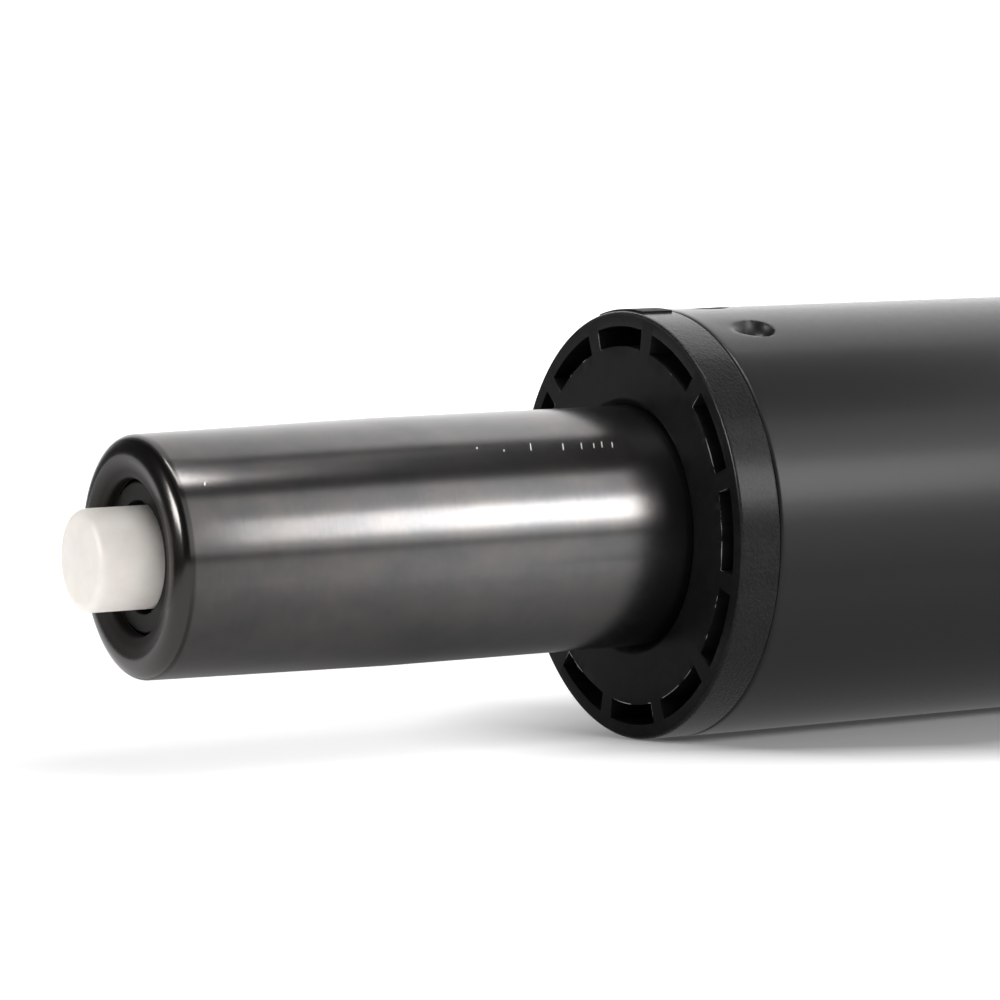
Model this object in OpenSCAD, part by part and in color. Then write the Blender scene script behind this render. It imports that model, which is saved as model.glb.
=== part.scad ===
// Gas lift of a swivel chair: a column that wedges into the chair's base, a gas
// cylinder that rises out of it through a moulded guide bush, and the piston rod
// that carries the cylinder on a ball bearing in the foot of the column.
// Upright, +Z up, millimetres. The origin is the centre of the column's lower rim.
// It is drawn with the cylinder all the way down, as in the photograph.

/* [Column] */
// Outer diameter of the column tube
column_d = 50; // [48:0.5:52]
// Length of the column tube
column_len = 218; // [200:1:240]
// Wall of the column tube
column_wall = 1.8; // [1.6:0.1:2.2]
// Length of the tapered seat at the foot
base_cone_len = 72; // [60:1:85]
// Half angle of both tapered seats, in degrees
cone_angle = 1.438; // [1.3:0.002:1.5]
// How far the rolled foot lip reaches in from the tube's inner wall
foot_lip = 2.4; // [2:0.1:3]
// Thickness of the rolled foot lip
foot_lip_t = 2; // [1.8:0.1:2.4]
// Outer radius of the rolled foot
foot_round = 1.6; // [1:0.1:1.8]
// Radius on the upper edge of the tube
column_edge = 0.5; // [0.3:0.1:0.8]

/* [Crimps that hold the bush] */
// Crimps in one group
crimps_in_group = 2; // [1:1:3]
// Angle between the crimps of a group, in degrees
crimp_pitch = 30; // [24:1:40]
// Direction of the first crimp of the seen group, in degrees
crimp_start = -72; // [-100:1:0]
// Distance of a crimp's deep end from the tube's upper edge
crimp_drop = 9; // [8:0.1:10]
// Depth of a crimp at its deep end
crimp_depth = 1.5; // [1.2:0.1:1.6]
// Radius of the punch that makes a crimp
punch_r = 2.6; // [2.2:0.1:3]
// Length of the crimp's ramp
crimp_ramp = 7; // [6:0.1:8]
// Wall that the punch leaves under a crimp
crimp_wall = 1.3; // [1.1:0.1:1.5]
// Turn from the seen group of crimps to the other group, in degrees
crimp_turn = 180; // [120:5:240]

/* [Guide bush] */
// Thickness of the flange
flange_t = 5.2; // [4:0.1:6]
// How far the flange stays inside the column's outer face
flange_inset = 0.06; // [0.02:0.02:0.4]
// Length of the sleeve inside the column
sleeve_len = 100; // [90:1:110]
// Length of each plain bearing land in the bore
land_len = 24; // [18:1:30]
// Depth of the relief between the lands
relief = 0.6; // [0.3:0.1:0.8]
// Pockets in the ring on the face
pockets = 12; // [8:1:16]
// Inner radius of the pocket ring
pocket_in_r = 20.9; // [20:0.1:21.5]
// Outer radius of the pocket ring
pocket_out_r = 23.2; // [22.4:0.1:23.6]
// Depth of a pocket
pocket_depth = 7; // [5:0.1:7.5]
// Angle that each rib between two pockets takes, in degrees
rib_angle = 6; // [4:0.5:9]
// Direction of the middle of the first pocket, in degrees
pocket_start = -46.5; // [-60:0.5:-30]
// Width of the groove that the crimps lock in
crimp_groove_w = 9.6; // [9.2:0.1:10.5]
// Depth of the groove that the crimps lock in
crimp_groove_depth = 1.8; // [1.5:0.1:2.2]
// How far that groove reaches above a crimp's deep end
groove_rise = 5; // [4.7:0.1:5.3]
// Wall of the sleeve behind the outer core-outs
sleeve_wall = 3.4; // [2.5:0.1:4.5]
// Height of the solid rings at the ends of the core-outs
sleeve_ring = 8; // [6:0.5:12]
// Angle that the smooth pad on the flange's rim takes, in degrees
pad_angle = 22; // [14:1:30]
// Height of the pad above the rim
pad_h = 0.25; // [0.1:0.05:0.4]
// Width of the lead-in at each end of the bore
bore_lead = 1; // [0.6:0.1:1.4]
// Length of the taper that leads the sleeve into the column
sleeve_lead = 3; // [2:0.5:5]

/* [Foot plate and ball bearing] */
// Depth of the dish under the plate
plate_dish = 4; // [3.6:0.1:5]
// Thickness of the plate
plate_t = 3; // [2.4:0.1:4]
// Width of the plate's standing skirt
plate_skirt = 2.6; // [2:0.1:3.2]
// Thickness of a bearing race
race_t = 2; // [1.6:0.1:2.6]
// Outer radius of the races
race_r = 12.5; // [12:0.1:14]
// Ball diameter
ball_d = 4; // [3.6:0.1:4.2]
// Balls in the bearing
balls = 10; // [8:1:10]
// Depth of the ball track in a race
track_depth = 0.5; // [0.3:0.05:0.7]
// Thickness of the ball cage
cage_t = 1.6; // [1.2:0.1:1.8]
// Rim of the ball cage on each side of the balls
cage_edge = 1.1; // [0.8:0.1:1.4]
// Thickness of the washer under the buffer
buffer_washer_t = 1.5; // [1:0.1:2]
// Outer radius of the washer under the buffer
buffer_washer_r = 15; // [14.5:0.1:17]
// Height of the rubber buffer
buffer_h = 11; // [8:0.5:14]
// Outer radius of the rubber buffer
buffer_r = 13.4; // [12.6:0.1:14.4]
// Radius of the hollow round the buffer's waist
buffer_waist_r = 5; // [4:0.5:6]
// Depth of the hollow round the buffer's waist
buffer_waist = 1.3; // [0.8:0.1:1.8]

/* [Piston rod] */
// Diameter of the piston rod
rod_d = 10; // [9.6:0.1:10.4]
// Diameter of the rod's foot below its shoulder
rod_foot_d = 8; // [7.6:0.1:8.6]
// Thickness of the washer under the foot plate
clip_washer_t = 1; // [0.8:0.1:1.2]
// Outer radius of the washer under the foot plate
clip_washer_r = 9; // [8.6:0.1:10]
// Thickness of the retaining clip
clip_t = 1; // [0.8:0.1:1.2]
// Outer radius of the retaining clip
clip_r = 7; // [6.6:0.1:7.6]
// Depth of the clip's groove in the rod
clip_groove = 1; // [0.8:0.05:1.1]
// Length of the rod below the clip
rod_tail = 1.8; // [1.2:0.1:2]
// Diameter of the rod inside the piston
piston_seat_d = 7; // [6:0.1:7.4]
// Height of the piston
piston_h = 10; // [8:0.5:14]
// Height of the piston ring
piston_ring_h = 2.5; // [2:0.1:3]
// Depth of the piston ring's groove
piston_groove = 1.55; // [1.2:0.05:1.9]
// Thickness of the piston washer
piston_washer_t = 1.5; // [1:0.1:2]
// Outer radius of the piston washer
piston_washer_r = 7.4; // [6.6:0.1:8.4]
// Width across the flats of the piston nut
nut_flats = 11; // [10:0.5:13]
// Height of the piston nut
nut_h = 5; // [4:0.5:6]
// How far the rod stands out of the nut
rod_end = 1; // [0.7:0.1:2]

/* [Gas cylinder] */
// Outer diameter of the cylinder
cylinder_d = 28; // [27.6:0.1:28.4]
// Length of the cylinder without its button
cylinder_len = 257.5; // [250:0.5:265]
// Wall of the cylinder
cylinder_wall = 1.7; // [1.4:0.1:1.9]
// Length of the tapered seat at the top
top_cone_len = 30.5; // [26:0.5:34]
// Radius of the rolled rim's outer edge
rim_round = 1.8; // [1.4:0.1:2.2]
// Slope of the rolled rim down to its mouth, in degrees
rim_slope = 29; // [20:1:34]
// Radius of the rolled rim's mouth
rim_mouth_r = 8.7; // [8.3:0.1:9.2]
// Radius on the mouth's edge
mouth_round = 0.6; // [0.4:0.1:0.8]
// Thickness of the rolled rim
rim_t = 2.9; // [2.6:0.1:3.4]
// Outer radius of the rolled lower end
end_round = 1.5; // [1:0.1:1.6]
// Radius of the hole in the rolled lower end
end_hole_r = 8; // [7:0.1:9]
// Travel of the cylinder
stroke = 100; // [80:1:110]
// Outer diameter of the inner tube
inner_d = 22; // [21.6:0.1:22.4]
// Wall of the inner tube
inner_wall = 1; // [0.8:0.1:1.2]
// Gas windows at the foot of the inner tube
windows = 3; // [2:1:5]
// Diameter of a gas window
window_d = 3; // [2:0.1:4]
// Thickness of the washer in the lower end
end_washer_t = 2; // [1.6:0.1:2.5]
// Height of the rod guide
rod_guide_h = 11; // [9:0.5:14]
// Height of the rod seal
rod_seal_h = 5; // [4.6:0.1:6]
// Thickness of the spacer above the rod seal
spacer_t = 2.3; // [2:0.1:3]

/* [Valve and release] */
// Length of the valve body below the rolled rim
body_len = 51.6; // [50:0.1:56]
// Length of the body's spigot inside the inner tube
spigot_len = 6.5; // [6.2:0.1:7]
// Length of the waist that the side port opens into
port_len = 5.5; // [5:0.1:6.5]
// Diameter of the side port
port_d = 1.8; // [1.4:0.1:2.2]
// Depth of the body's top face below the tip
body_drop = 1.3; // [1.1:0.1:1.6]
// Gap between the rim's mouth and the body's neck
neck_gap = 0.3; // [0.2:0.05:0.4]
// Radius of the hole round the button
button_hole_r = 6.3; // [6.1:0.1:6.8]
// Depth of the hole round the button
button_hole_depth = 1.6; // [1:0.1:2.5]
// Diameter of the release button
button_d = 11.4; // [11:0.1:11.8]
// How far the button stands above the tip
button_proud = 6; // [5.5:0.1:7.5]
// Length of the button
button_len = 18.5; // [17:0.5:20]
// Radius on the button's upper edge
button_round = 1.1; // [0.6:0.1:1.6]
// Travel of the button
press = 4; // [3:0.5:4.5]
// Diameter of the valve pin
pin_d = 5; // [4.6:0.1:5.2]
// Diameter of the pin's waist
pin_waist_d = 3.4; // [3:0.1:3.8]
// How far the pin sits in the button
pin_socket = 2; // [1.5:0.1:3]
// Thickness of the pin's head
pin_head_t = 3; // [2.4:0.1:3.5]
// Diameter of the pin's head
pin_head_d = 6.2; // [5.8:0.1:6.3]
// How far the pin's head hangs below the valve body
pin_drop = 4; // [3.2:0.1:5]
// Diameter of the seal rings' cord
seal_cord = 2; // [1.8:0.1:2.1]
// Wall between the two grooves in the valve body
seal_wall = 2.4; // [2:0.1:3]
// Height of the lower pin seal above the body's foot
lower_seal_rise = 5.6; // [5.4:0.1:6]
// Depth of the upper pin seal below the button's well
upper_seal_drop = 6; // [4:0.5:8]
// Length of the pin's waist
pin_waist_len = 7; // [6:0.5:8]

/* [Fits] */
// Radial play between cylinder and bush
slide_fit = 0.08; // [0.05:0.01:0.1]
// Radial play of small sliding and turning fits
run_fit = 0.05; // [0.03:0.01:0.08]
// Radial play of pressed and seated pieces
seat_fit = 0.03; // [0.02:0.01:0.05]
// Axial play of the swivel bearing and its washer
swivel_play = 0.15; // [0.1:0.05:0.3]
// Gap between cylinder and buffer when it is all the way down
buffer_gap = 0.5; // [0.3:0.1:1]
// Gap between piston and spacer when the cylinder is all the way up
top_gap = 2; // [1:0.5:4]

/* [Hidden] */
$fn = 96;

cone_rate = tan(cone_angle);

// Column and bush
column_r = column_d / 2;
bore_r = column_r - column_wall;
flange_r = column_r - flange_inset;
sleeve_r = bore_r - run_fit;
face_z = column_len + flange_t;
sleeve_z = column_len - sleeve_len;
groove_top = column_len - crimp_drop + groove_rise;
groove_foot = groove_top - crimp_groove_w;

// Stack in the foot, from the rim up
plate_under = foot_lip_t + plate_dish;
plate_top = plate_under + plate_t;
lower_race_top = plate_top + race_t;
ball_r = ball_d / 2;
ball_gap = 0.02;
ball_z = lower_race_top - track_depth + ball_r + ball_gap;
ball_ring_r = (rod_foot_d / 2 + race_r) / 2;
upper_race_z = 2 * ball_z - lower_race_top;
shoulder_z = upper_race_z + race_t;
buffer_z = shoulder_z + buffer_washer_t;
cylinder_z = buffer_z + buffer_h + buffer_gap;

// Rod foot, from the plate down
rod_r = rod_d / 2;
rod_foot_r = rod_foot_d / 2;
clip_washer_top = plate_under - swivel_play;
clip_top = clip_washer_top - clip_washer_t;
clip_z = clip_top - clip_t;
rod_z = clip_z - rod_tail;

// Cylinder, from its lower end up
cylinder_r = cylinder_d / 2;
cylinder_bore_r = cylinder_r - cylinder_wall;
tip_z = cylinder_z + cylinder_len;
top_cone_z = tip_z - top_cone_len;
tip_r = cylinder_r - top_cone_len * cone_rate;
tip_bore_r = tip_r - cylinder_wall;
end_washer_z = cylinder_z + cylinder_wall;
rod_guide_z = end_washer_z + end_washer_t;
rod_seal_z = rod_guide_z + rod_guide_h;
spacer_z = rod_seal_z + rod_seal_h;
inner_z = spacer_z + spacer_t;
inner_r = inner_d / 2;
inner_bore_r = inner_r - inner_wall;
packing_r = cylinder_bore_r - seat_fit;

// Piston, above the spacer by the whole travel
piston_z = inner_z + stroke + top_gap;
piston_r = inner_bore_r - run_fit;
piston_seat_r = piston_seat_d / 2;
piston_top = piston_z + piston_h;
nut_z = piston_top + piston_washer_t;
rod_top = nut_z + nut_h + rod_end;

// Valve body, from the rolled rim down
body_top = tip_z - body_drop;
body_shoulder = tip_z - rim_t;
body_z = body_shoulder - body_len;
spigot_top = body_z + spigot_len;
port_top = spigot_top + port_len;
seal_r = seal_cord / 2;
seal_groove_w = seal_cord + 0.2;
seal_pitch = seal_groove_w + seal_wall;
first_body_seal_z = port_top + seal_groove_w / 2 + 1.3;
body_seal_r = cylinder_bore_r - 0.02 - seal_r;
neck_r = rim_mouth_r - neck_gap;
button_r = button_d / 2;
button_top = tip_z + button_proud;
button_z = button_top - button_len;
well_z = button_z - press - 1;
pin_r = pin_d / 2;
pin_bore_r = pin_r + run_fit;
pin_head_r = pin_head_d / 2;
pin_mouth_r = pin_head_r + 0.2;
pin_z = body_z - pin_drop;
pin_seal_r = pin_bore_r + seal_r;
lower_pin_seal_z = body_z + lower_seal_rise;
upper_pin_seal_z = well_z - upper_seal_drop;
waist_foot = lower_pin_seal_z + seal_r + 1.4;

// Takes the corner p of a profile off to radius r. sx and sy point into the profile.
module corner_cut(p, r, sx, sy)
    difference() {
        translate([p[0] - (sx > 0 ? 1 : r), p[1] - (sy > 0 ? 1 : r)]) square(r + 1);
        translate([p[0] + sx * r, p[1] + sy * r]) circle(r);
    }

// Plain ring between two radii
module ring(r_out, r_in, z, h)
    translate([0, 0, z]) difference() {
        cylinder(h = h, r = r_out);
        translate([0, 0, -1]) cylinder(h = h + 2, r = r_in);
    }

// Ring with its four edges rounded
module soft_ring(r_out, r_in, z, h, edge)
    rotate_extrude() difference() {
        translate([r_in, z]) square([r_out - r_in, h]);
        corner_cut([r_in, z], edge, 1, 1);
        corner_cut([r_out, z], edge, -1, 1);
        corner_cut([r_in, z + h], edge, 1, -1);
        corner_cut([r_out, z + h], edge, -1, -1);
    }

// Round cord bent to a ring
module cord_ring(ring_r, cord_r, z)
    translate([0, 0, z]) rotate_extrude() translate([ring_r, 0]) circle(cord_r, $fn = 32);

// Part of a ring, centred on the direction a
module arc_block(r_in, r_out, z, h, a, angle)
    rotate([0, 0, a - angle / 2]) rotate_extrude(angle = angle)
        translate([r_in, z]) square([r_out - r_in, h]);

// Punch of a crimp: a round nose at the deep end and a shank that climbs out to the surface
module punch(r, depth) {
    tilt = atan(depth / crimp_ramp);
    translate([column_r + r - depth, 0, column_len - crimp_drop]) {
        sphere(r);
        rotate([0, tilt, 0]) cylinder(h = crimp_ramp * 2, r = r);
    }
}

// Every crimp: the seen group and an equal one opposite
module at_crimps()
    for (side = [0, crimp_turn], i = [0 : crimps_in_group - 1])
        rotate([0, 0, side + crimp_start + i * crimp_pitch]) children();

module column_tube() {
    foot_r = column_r - base_cone_len * cone_rate;
    lip_r = foot_r - column_wall - foot_lip;
    foot_bore_r = foot_r - column_wall + foot_lip_t * cone_rate;
    color("#2b2a2a") difference() {
        union() {
            rotate_extrude() difference() {
                polygon([[lip_r, 0], [foot_r, 0], [column_r, base_cone_len], [column_r, column_len],
                    [bore_r, column_len], [bore_r, base_cone_len], [foot_bore_r, foot_lip_t],
                    [lip_r, foot_lip_t]]);
                corner_cut([foot_r, 0], foot_round, -1, 1);
                corner_cut([lip_r, 0], 0.4, 1, 1);
                corner_cut([column_r, column_len], column_edge, -1, -1);
            }
            intersection() {
                at_crimps() translate([-crimp_wall, 0, 0]) punch(punch_r, crimp_depth);
                translate([0, 0, groove_foot]) cylinder(h = crimp_groove_w, r = bore_r + 0.2);
            }
        }
        at_crimps() punch(punch_r, crimp_depth);
    }
}

module guide_bush() {
    rod_hole_r = cylinder_r + slide_fit;
    core_r = rod_hole_r + sleeve_wall;
    groove_r = sleeve_r - crimp_groove_depth;
    core_z = sleeve_z + sleeve_ring;
    color("#242322") difference() {
        union() {
            rotate_extrude() difference() {
                polygon([[rod_hole_r, sleeve_z], [sleeve_r - 1, sleeve_z],
                    [sleeve_r, sleeve_z + sleeve_lead], [sleeve_r, column_len],
                    [flange_r, column_len], [flange_r, face_z], [rod_hole_r, face_z]]);
                corner_cut([flange_r, face_z], 0.35, -1, -1);
                corner_cut([flange_r, column_len], 0.25, -1, 1);
                translate([groove_r, groove_foot]) square([crimp_groove_depth + 1, crimp_groove_w]);
            }
            arc_block(flange_r - 1, flange_r + pad_h, column_len + 0.5, flange_t - 1.1,
                pocket_start + 1.5, pad_angle);
        }
        // Relief between the two bearing lands, and a lead-in at each end of the bore
        translate([0, 0, sleeve_z + land_len])
            cylinder(h = sleeve_len + flange_t - 2 * land_len, r = rod_hole_r + relief);
        translate([0, 0, face_z - 0.8 * bore_lead])
            cylinder(h = bore_lead, r1 = rod_hole_r, r2 = rod_hole_r + bore_lead);
        translate([0, 0, sleeve_z - 0.2 * bore_lead])
            cylinder(h = bore_lead, r1 = rod_hole_r + bore_lead, r2 = rod_hole_r);
        for (i = [0 : pockets - 1]) {
            a = pocket_start + i * 360 / pockets;
            span = 360 / pockets - rib_angle;
            arc_block(pocket_in_r, pocket_out_r, face_z - pocket_depth, pocket_depth + 1, a, span);
            arc_block(core_r, sleeve_r + 1, core_z, groove_foot - sleeve_ring - core_z, a, span);
        }
    }
}

module foot_plate() {
    skirt_foot_r = column_r - (base_cone_len - foot_lip_t) * cone_rate - column_wall - run_fit;
    skirt_top_r = skirt_foot_r + (plate_top - foot_lip_t) * cone_rate;
    hole_r = rod_foot_r + run_fit;
    color("#b9bcc0") rotate_extrude() difference() {
        polygon([[hole_r, plate_under], [skirt_foot_r - plate_skirt, plate_under],
            [skirt_foot_r - plate_skirt, foot_lip_t], [skirt_foot_r, foot_lip_t],
            [skirt_top_r, plate_top], [hole_r, plate_top]]);
        corner_cut([skirt_top_r, plate_top], 1.4, -1, -1);
        corner_cut([skirt_foot_r - plate_skirt, foot_lip_t], 0.6, 1, 1);
    }
}

// Race with a ball track; the track's centre line is at the balls
module race(bore, z)
    rotate_extrude() difference() {
        translate([bore, z]) square([race_r - bore, race_t]);
        translate([ball_ring_r, ball_z]) circle(ball_r + ball_gap);
        corner_cut([race_r, z + race_t], 0.4, -1, -1);
        corner_cut([race_r, z], 0.4, -1, 1);
    }

module lower_race() color("#c9ccd0") race(rod_foot_r + run_fit, plate_top);

module upper_race() color("#c9ccd0") race(rod_foot_r + seat_fit, upper_race_z);

module at_balls() for (i = [0 : balls - 1]) rotate([0, 0, i * 360 / balls])
    translate([ball_ring_r, 0, ball_z]) children();

module ball_cage() {
    edge = ball_r + cage_edge;
    color("#d8c26a") difference() {
        ring(ball_ring_r + edge, ball_ring_r - edge, ball_z - cage_t / 2, cage_t);
        at_balls() translate([0, 0, -cage_t]) cylinder(h = 2 * cage_t, r = ball_r + run_fit);
    }
}

module bearing_balls() color("#e2e4e6") at_balls() sphere(ball_r);

module buffer_washer()
    color("#c4c6c9") soft_ring(buffer_washer_r, rod_r + seat_fit, shoulder_z, buffer_washer_t, 0.3);

module rubber_buffer() {
    bore = rod_r + 0.15;
    color("#1b1b1b") rotate_extrude() difference() {
        translate([bore, buffer_z]) square([buffer_r - bore, buffer_h]);
        corner_cut([buffer_r, buffer_z], 1.2, -1, 1);
        corner_cut([buffer_r, buffer_z + buffer_h], 1.2, -1, -1);
        translate([buffer_r + buffer_waist_r - buffer_waist, buffer_z + buffer_h / 2])
            circle(buffer_waist_r);
    }
}

module piston_rod() {
    groove_r = rod_foot_r - clip_groove;
    color("#d7dadd") rotate_extrude() difference() {
        polygon([[0, rod_z], [rod_foot_r - 0.6, rod_z], [rod_foot_r, rod_z + 0.6],
            [rod_foot_r, clip_z - run_fit], [groove_r, clip_z - run_fit],
            [groove_r, clip_top + run_fit], [rod_foot_r, clip_top + run_fit],
            [rod_foot_r, shoulder_z], [rod_r, shoulder_z], [rod_r, piston_z],
            [piston_seat_r, piston_z], [piston_seat_r, rod_top], [0, rod_top]]);
        corner_cut([piston_seat_r, rod_top], 0.6, -1, -1);
    }
}

module clip_washer()
    color("#c4c6c9") ring(clip_washer_r, rod_foot_r + seat_fit, clip_top, clip_washer_t);

// Spring clip shaped like an E: three prongs reach into the rod's groove
module retaining_clip() {
    prong_r = rod_foot_r - clip_groove + seat_fit;
    rim_r = clip_r - 1.7;
    mouth = 2 * prong_r - 0.4;
    color("#8f9296") difference() {
        union() {
            ring(clip_r, rim_r, clip_z, clip_t);
            for (a = [0, 125, 235]) rotate([0, 0, a]) translate([prong_r - 1, -1.3, clip_z])
                cube([rim_r - prong_r + 1.5, 2.6, clip_t]);
        }
        translate([0, 0, clip_z - 1]) cylinder(h = clip_t + 2, r = prong_r);
        rotate([0, 0, 180]) translate([0, -mouth / 2, clip_z - 1]) cube([clip_r + 1, mouth, clip_t + 2]);
    }
}

module piston() {
    groove_z = piston_z + (piston_h - piston_ring_h) / 2;
    color("#a9adb2") rotate_extrude() difference() {
        translate([piston_seat_r + seat_fit, piston_z])
            square([piston_r - piston_seat_r - seat_fit, piston_h]);
        translate([piston_r - piston_groove, groove_z]) square([piston_groove + 1, piston_ring_h]);
        corner_cut([piston_r, piston_z], 0.6, -1, 1);
        corner_cut([piston_r, piston_top], 0.6, -1, -1);
    }
}

module piston_ring() {
    z = piston_z + (piston_h - piston_ring_h) / 2 + seat_fit;
    color("#3a3a3c") soft_ring(inner_bore_r - 0.02, piston_r - piston_groove + seat_fit, z,
        piston_ring_h - 2 * seat_fit, 0.3);
}

module piston_washer()
    color("#c4c6c9") ring(piston_washer_r, piston_seat_r + seat_fit, piston_top, piston_washer_t);

module piston_nut()
    color("#b4b7ba") translate([0, 0, nut_z]) difference() {
        cylinder(h = nut_h, d = nut_flats / cos(30), $fn = 6);
        translate([0, 0, -1]) cylinder(h = nut_h + 2, r = piston_seat_r + seat_fit);
    }

// Drawn tube, rolled in at both ends and tapered at the top to seat in the chair's mechanism
module pressure_tube() {
    outer = [tip_r - rim_round, tip_z - rim_round];
    lean = [-sin(rim_slope), cos(rim_slope)];
    mouth_x = rim_mouth_r + mouth_round;
    mouth_z = (lean * outer + rim_round - mouth_round - lean[0] * mouth_x) / lean[1];
    mouth = [mouth_x, mouth_z];
    color("#6f7276") rotate_extrude() difference() {
        union() {
            polygon([[end_hole_r, cylinder_z], [cylinder_r, cylinder_z], [cylinder_r, top_cone_z],
                [tip_r, tip_z - rim_round], outer, outer + rim_round * lean,
                mouth + mouth_round * lean, mouth, [rim_mouth_r, mouth_z],
                [rim_mouth_r, body_shoulder], [tip_bore_r, body_shoulder],
                [cylinder_bore_r, top_cone_z], [cylinder_bore_r, end_washer_z],
                [end_hole_r, end_washer_z]]);
            translate(outer) intersection() {
                circle(rim_round);
                translate([-rim_round, 0]) square([2 * rim_round, rim_round]);
            }
            translate(mouth) circle(mouth_round);
        }
        corner_cut([cylinder_r, cylinder_z], end_round, -1, 1);
        corner_cut([end_hole_r, cylinder_z], 0.5, 1, 1);
    }
}

module inner_tube()
    color("#c3c6ca") difference() {
        ring(inner_r, inner_bore_r, inner_z, spigot_top - inner_z);
        for (i = [0 : windows - 1]) rotate([0, 0, i * 360 / windows])
            translate([0, 0, inner_z + window_d]) rotate([0, 90, 0]) cylinder(h = inner_r + 1, d = window_d);
    }

module end_washer()
    color("#c4c6c9") ring(packing_r, rod_r + 0.4, end_washer_z, end_washer_t);

module rod_guide() {
    cup = 3;
    color("#e9e6dc") rotate_extrude() difference() {
        translate([rod_r + run_fit, rod_guide_z]) square([packing_r - rod_r - run_fit, rod_guide_h]);
        translate([rod_r + 2.4, rod_guide_z + rod_guide_h - cup]) square([packing_r - rod_r - 4.4, cup + 1]);
    }
}

// Lip seal: a body with one lip on the rod and one on the tube, split by a groove on the gas side
module rod_seal() {
    bore = rod_r + run_fit;
    mid = (bore + packing_r) / 2;
    heel = 1.8;
    color("#222426") rotate_extrude() difference() {
        translate([bore, rod_seal_z]) square([packing_r - bore, rod_seal_h]);
        polygon([[mid - 0.8, rod_seal_z + heel], [mid + 0.8, rod_seal_z + heel],
            [mid + 2.2, rod_seal_z + rod_seal_h + 1], [mid - 2.2, rod_seal_z + rod_seal_h + 1]]);
    }
}

module seal_spacer()
    color("#c4c6c9") ring(packing_r, rod_r + 0.6, spacer_z, spacer_t);

module valve_body() {
    spigot_r = inner_bore_r - seat_fit;
    port_r = inner_r + 0.4;
    groove_r = body_seal_r - seal_r;
    color("#8b8f94") difference() {
        rotate_extrude() difference() {
            polygon([[0, body_z], [spigot_r, body_z], [spigot_r, spigot_top], [port_r, spigot_top],
                [port_r, port_top], [packing_r, port_top], [packing_r, top_cone_z],
                [tip_bore_r - seat_fit, body_shoulder], [neck_r, body_shoulder], [neck_r, body_top],
                [0, body_top]]);
            corner_cut([neck_r, body_top], 0.3, -1, -1);
            corner_cut([spigot_r, body_z], 0.5, -1, 1);
            for (i = [0, 1]) translate([groove_r, first_body_seal_z + i * seal_pitch - seal_groove_w / 2])
                square([packing_r, seal_groove_w]);
        }
        // Well of the button, bore of the pin, wide mouth below it, and the grooves of the pin seals
        translate([0, 0, well_z]) cylinder(h = button_len, r = button_r + run_fit);
        translate([0, 0, body_top - button_hole_depth])
            cylinder(h = button_hole_depth + 1, r = button_hole_r);
        translate([0, 0, body_z - 1]) cylinder(h = body_len, r = pin_bore_r);
        translate([0, 0, body_z - 1])
            cylinder(h = lower_pin_seal_z - seal_groove_w / 2 - body_z, r = pin_mouth_r);
        for (z = [lower_pin_seal_z, upper_pin_seal_z]) translate([0, 0, z - seal_groove_w / 2])
            cylinder(h = seal_groove_w, r = pin_seal_r + seal_r + seat_fit);
        translate([0, 0, spigot_top + port_len / 2]) rotate([0, 90, 0]) cylinder(h = port_r + 1, d = port_d);
    }
}

module body_seals()
    color("#1e1e20") for (i = [0, 1]) cord_ring(body_seal_r, seal_r, first_body_seal_z + i * seal_pitch);

module pin_seals()
    color("#1e1e20") for (z = [lower_pin_seal_z, upper_pin_seal_z]) cord_ring(pin_seal_r, seal_r, z);

module release_button()
    color("#f3efe8") rotate_extrude() difference() {
        polygon([[0, button_z + pin_socket], [pin_r + seat_fit, button_z + pin_socket],
            [pin_r + seat_fit, button_z], [button_r, button_z], [button_r, button_top], [0, button_top]]);
        corner_cut([button_r, button_top], button_round, -1, -1);
        corner_cut([button_r, button_z], 0.4, -1, 1);
    }

// Pin with a waist: pushed down, the waist comes level with the lower seal and lets gas past
module valve_pin() {
    waist_r = pin_waist_d / 2;
    slope = pin_r - waist_r;
    pin_top = button_z + pin_socket;
    color("#cfd2d5") rotate_extrude()
        polygon([[0, pin_z], [pin_head_r, pin_z], [pin_head_r, pin_z + pin_head_t - 0.6],
            [pin_r, pin_z + pin_head_t], [pin_r, waist_foot], [waist_r, waist_foot + slope],
            [waist_r, waist_foot + pin_waist_len - slope], [pin_r, waist_foot + pin_waist_len],
            [pin_r, pin_top - 0.4], [pin_r - 0.4, pin_top], [0, pin_top]]);
}

column_tube();
guide_bush();
foot_plate();
lower_race();
ball_cage();
bearing_balls();
upper_race();
buffer_washer();
rubber_buffer();
piston_rod();
clip_washer();
retaining_clip();
piston();
piston_ring();
piston_washer();
piston_nut();
pressure_tube();
inner_tube();
end_washer();
rod_guide();
rod_seal();
seal_spacer();
valve_body();
body_seals();
pin_seals();
release_button();
valve_pin();
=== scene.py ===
import math

import bmesh
import bpy
from mathutils import Matrix, Vector, noise


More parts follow.
